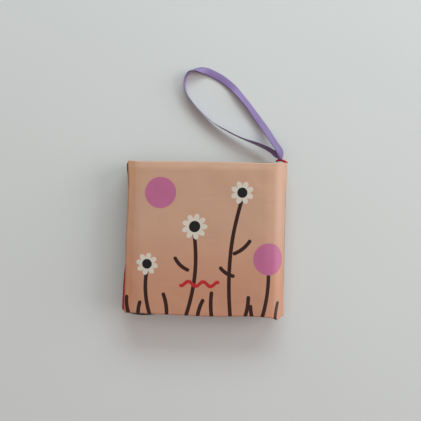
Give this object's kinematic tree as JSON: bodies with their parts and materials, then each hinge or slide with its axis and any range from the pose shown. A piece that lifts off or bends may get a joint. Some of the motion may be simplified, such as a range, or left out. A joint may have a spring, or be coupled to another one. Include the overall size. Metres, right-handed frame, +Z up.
{
  "type": "crinkle cloth book",
  "caption": "Small square baby's cloth book with padded covers, soft crinkle leaves that turn on a sewn spine, and a ribbon loop.",
  "frame": {"origin": "bottom centre of the closed book, on the surface it lies on, without the ribbon and its bar tack", "axes": "+Z up through the closed book, +X from the open edges to the fold of the spine, +Y towards the edge that the ribbon leaves"},
  "size_m": [0.1338, 0.2085, 0.0245],
  "materials": {
    "cover_cloth": "smooth satin-like polyester, printed",
    "page_cloth_red": "smooth printed polyester",
    "page_cloth_dark": "smooth printed polyester",
    "page_cloth_cream": "smooth printed polyester",
    "page_cloth_mauve": "smooth printed polyester",
    "page_cloth_turquoise": "smooth printed polyester",
    "page_cloth_yellow": "smooth printed polyester",
    "wadding": "soft fibre",
    "crinkle_film": "thin crumpled film",
    "spine_thread": "sewing thread",
    "tack_thread": "dense sewing thread",
    "ribbon_satin": "narrow satin ribbon"
  },
  "bodies": {
    "back_cover": {"back_cover_outer_fabric": "cover_cloth", "back_cover_lining": "page_cloth_yellow", "back_cover_wadding": "wadding", "back_cover_crinkle_film": "crinkle_film", "spine_seam": "page_cloth_red", "spine_stitching": "spine_thread", "ribbon_bar_tack": "tack_thread"},
    "leaf_4": {"leaf_4_front_fabric": "page_cloth_mauve", "leaf_4_rear_fabric": "page_cloth_red", "leaf_4_crinkle_film": "crinkle_film"},
    "leaf_3": {"leaf_3_front_fabric": "page_cloth_red", "leaf_3_rear_fabric": "page_cloth_cream", "leaf_3_crinkle_film": "crinkle_film"},
    "leaf_2": {"leaf_2_front_fabric": "page_cloth_dark", "leaf_2_rear_fabric": "page_cloth_yellow", "leaf_2_crinkle_film": "crinkle_film"},
    "leaf_1": {"leaf_1_front_fabric": "page_cloth_turquoise", "leaf_1_rear_fabric": "page_cloth_dark", "leaf_1_crinkle_film": "crinkle_film"},
    "front_cover": {"front_cover_outer_fabric": "cover_cloth", "front_cover_lining": "page_cloth_red", "front_cover_wadding": "wadding", "front_cover_crinkle_film": "crinkle_film"},
    "ribbon": {"ribbon_loop": "ribbon_satin"}
  },
  "joints": [
    {"name": "leaf_4_turn", "type": "hinge", "parent": "back_cover", "child": "leaf_4", "pos_m": [0.06675, 0, 0.01225], "axis": [0, 1, 0], "range_deg": [0, 180]},
    {"name": "leaf_3_turn", "type": "hinge", "parent": "leaf_4", "child": "leaf_3", "pos_m": [0.06675, 0, 0.01225], "axis": [0, 1, 0], "range_deg": [0, 180]},
    {"name": "leaf_2_turn", "type": "hinge", "parent": "leaf_3", "child": "leaf_2", "pos_m": [0.06675, 0, 0.01225], "axis": [0, 1, 0], "range_deg": [0, 180]},
    {"name": "leaf_1_turn", "type": "hinge", "parent": "leaf_2", "child": "leaf_1", "pos_m": [0.06675, 0, 0.01225], "axis": [0, 1, 0], "range_deg": [0, 180]},
    {"name": "front_cover_turn", "type": "hinge", "parent": "leaf_1", "child": "front_cover", "pos_m": [0.06675, 0, 0.01225], "axis": [0, 1, 0], "range_deg": [0, 180]},
    {"name": "ribbon_swing", "type": "hinge", "parent": "back_cover", "child": "ribbon", "pos_m": [0.0615, 0.0649, 0.01225], "axis": [1, 0, 0], "range_deg": [0, 90]}
  ]
}
